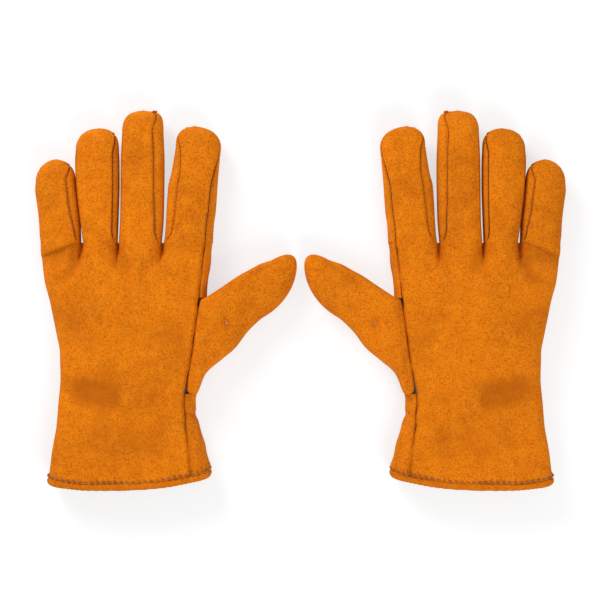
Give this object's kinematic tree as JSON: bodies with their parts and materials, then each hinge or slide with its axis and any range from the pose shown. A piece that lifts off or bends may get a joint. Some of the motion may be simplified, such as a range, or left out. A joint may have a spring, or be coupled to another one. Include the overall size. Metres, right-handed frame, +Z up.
{
  "type": "welding gloves",
  "caption": "Pair of short welding gloves in thick split leather, with side strips along the fingers, set-on thumbs and a soft lining.",
  "frame": {"origin": "Midway between the two gloves, at the middle of their length, on the surface they lie on.", "axes": "+X from the left glove to the right glove, +Y towards the fingertips, +Z up out of the backs of the hands."},
  "size_m": [0.3966, 0.2826, 0.0264],
  "materials": {
    "leather": "rough split-leather suede",
    "fleece": "soft napped cotton",
    "canvas": "plain woven cotton",
    "thread": "twisted heat-proof sewing thread"
  },
  "bodies": {
    "left_hand": {"left_hand_back": "leather", "left_palm": "leather", "left_hand_side_strip": "leather", "left_cuff_gusset": "leather", "left_cuff_hem": "leather", "left_hem_thread": "thread", "left_hand_lining": "fleece", "left_cuff_lining": "canvas"},
    "left_little_finger": {"left_little_back": "leather", "left_little_front": "leather", "left_little_thumb_side_strip": "leather", "left_little_lining": "fleece"},
    "left_ring_finger": {"left_ring_back": "leather", "left_ring_front": "leather", "left_ring_little_side_strip": "leather", "left_ring_thumb_side_strip": "leather", "left_ring_lining": "fleece"},
    "left_middle_finger": {"left_middle_back": "leather", "left_middle_front": "leather", "left_middle_little_side_strip": "leather", "left_middle_thumb_side_strip": "leather", "left_middle_lining": "fleece"},
    "left_index_finger": {"left_index_back": "leather", "left_index_front": "leather", "left_index_little_side_strip": "leather", "left_index_thumb_side_strip": "leather", "left_index_lining": "fleece"},
    "left_thumb": {"left_thumb_back": "leather", "left_thumb_front": "leather", "left_thumb_lining": "fleece"},
    "right_hand": {"right_hand_back": "leather", "right_palm": "leather", "right_hand_side_strip": "leather", "right_cuff_gusset": "leather", "right_cuff_hem": "leather", "right_hem_thread": "thread", "right_hand_lining": "fleece", "right_cuff_lining": "canvas"},
    "right_little_finger": {"right_little_back": "leather", "right_little_front": "leather", "right_little_thumb_side_strip": "leather", "right_little_lining": "fleece"},
    "right_ring_finger": {"right_ring_back": "leather", "right_ring_front": "leather", "right_ring_little_side_strip": "leather", "right_ring_thumb_side_strip": "leather", "right_ring_lining": "fleece"},
    "right_middle_finger": {"right_middle_back": "leather", "right_middle_front": "leather", "right_middle_little_side_strip": "leather", "right_middle_thumb_side_strip": "leather", "right_middle_lining": "fleece"},
    "right_index_finger": {"right_index_back": "leather", "right_index_front": "leather", "right_index_little_side_strip": "leather", "right_index_thumb_side_strip": "leather", "right_index_lining": "fleece"},
    "right_thumb": {"right_thumb_back": "leather", "right_thumb_front": "leather", "right_thumb_lining": "fleece"}
  },
  "joints": [
    {"name": "left_little_flex", "type": "hinge", "parent": "left_hand", "child": "left_little_finger", "pos_m": [-0.1793, 0.04315, 0], "axis": [-1, 0, 0], "range_deg": [0, 75]},
    {"name": "left_ring_flex", "type": "hinge", "parent": "left_hand", "child": "left_ring_finger", "pos_m": [-0.15, 0.04315, 0], "axis": [-1, 0, 0], "range_deg": [0, 75]},
    {"name": "left_middle_flex", "type": "hinge", "parent": "left_hand", "child": "left_middle_finger", "pos_m": [-0.1198, 0.04315, 0], "axis": [-1, 0, 0], "range_deg": [0, 75]},
    {"name": "left_index_flex", "type": "hinge", "parent": "left_hand", "child": "left_index_finger", "pos_m": [-0.08395, 0.04315, 0], "axis": [-1, 0, 0], "range_deg": [0, 75]},
    {"name": "left_thumb_flex", "type": "hinge", "parent": "left_hand", "child": "left_thumb", "pos_m": [-0.07183, 0.00146, 0], "axis": [0.1097, 0.994, 0], "range_deg": [0, 60]},
    {"name": "right_glove_lift", "type": "slide", "parent": "left_hand", "child": "right_hand", "axis": [0, 0, 1], "range_m": [0, 0.12]},
    {"name": "right_little_flex", "type": "hinge", "parent": "right_hand", "child": "right_little_finger", "pos_m": [0.1793, 0.04315, 0], "axis": [-1, 0, 0], "range_deg": [0, 75]},
    {"name": "right_ring_flex", "type": "hinge", "parent": "right_hand", "child": "right_ring_finger", "pos_m": [0.15, 0.04315, 0], "axis": [-1, 0, 0], "range_deg": [0, 75]},
    {"name": "right_middle_flex", "type": "hinge", "parent": "right_hand", "child": "right_middle_finger", "pos_m": [0.1198, 0.04315, 0], "axis": [-1, 0, 0], "range_deg": [0, 75]},
    {"name": "right_index_flex", "type": "hinge", "parent": "right_hand", "child": "right_index_finger", "pos_m": [0.08395, 0.04315, 0], "axis": [-1, 0, 0], "range_deg": [0, 75]},
    {"name": "right_thumb_flex", "type": "hinge", "parent": "right_hand", "child": "right_thumb", "pos_m": [0.07183, 0.00146, 0], "axis": [0.1097, -0.994, 0], "range_deg": [0, 60]}
  ]
}
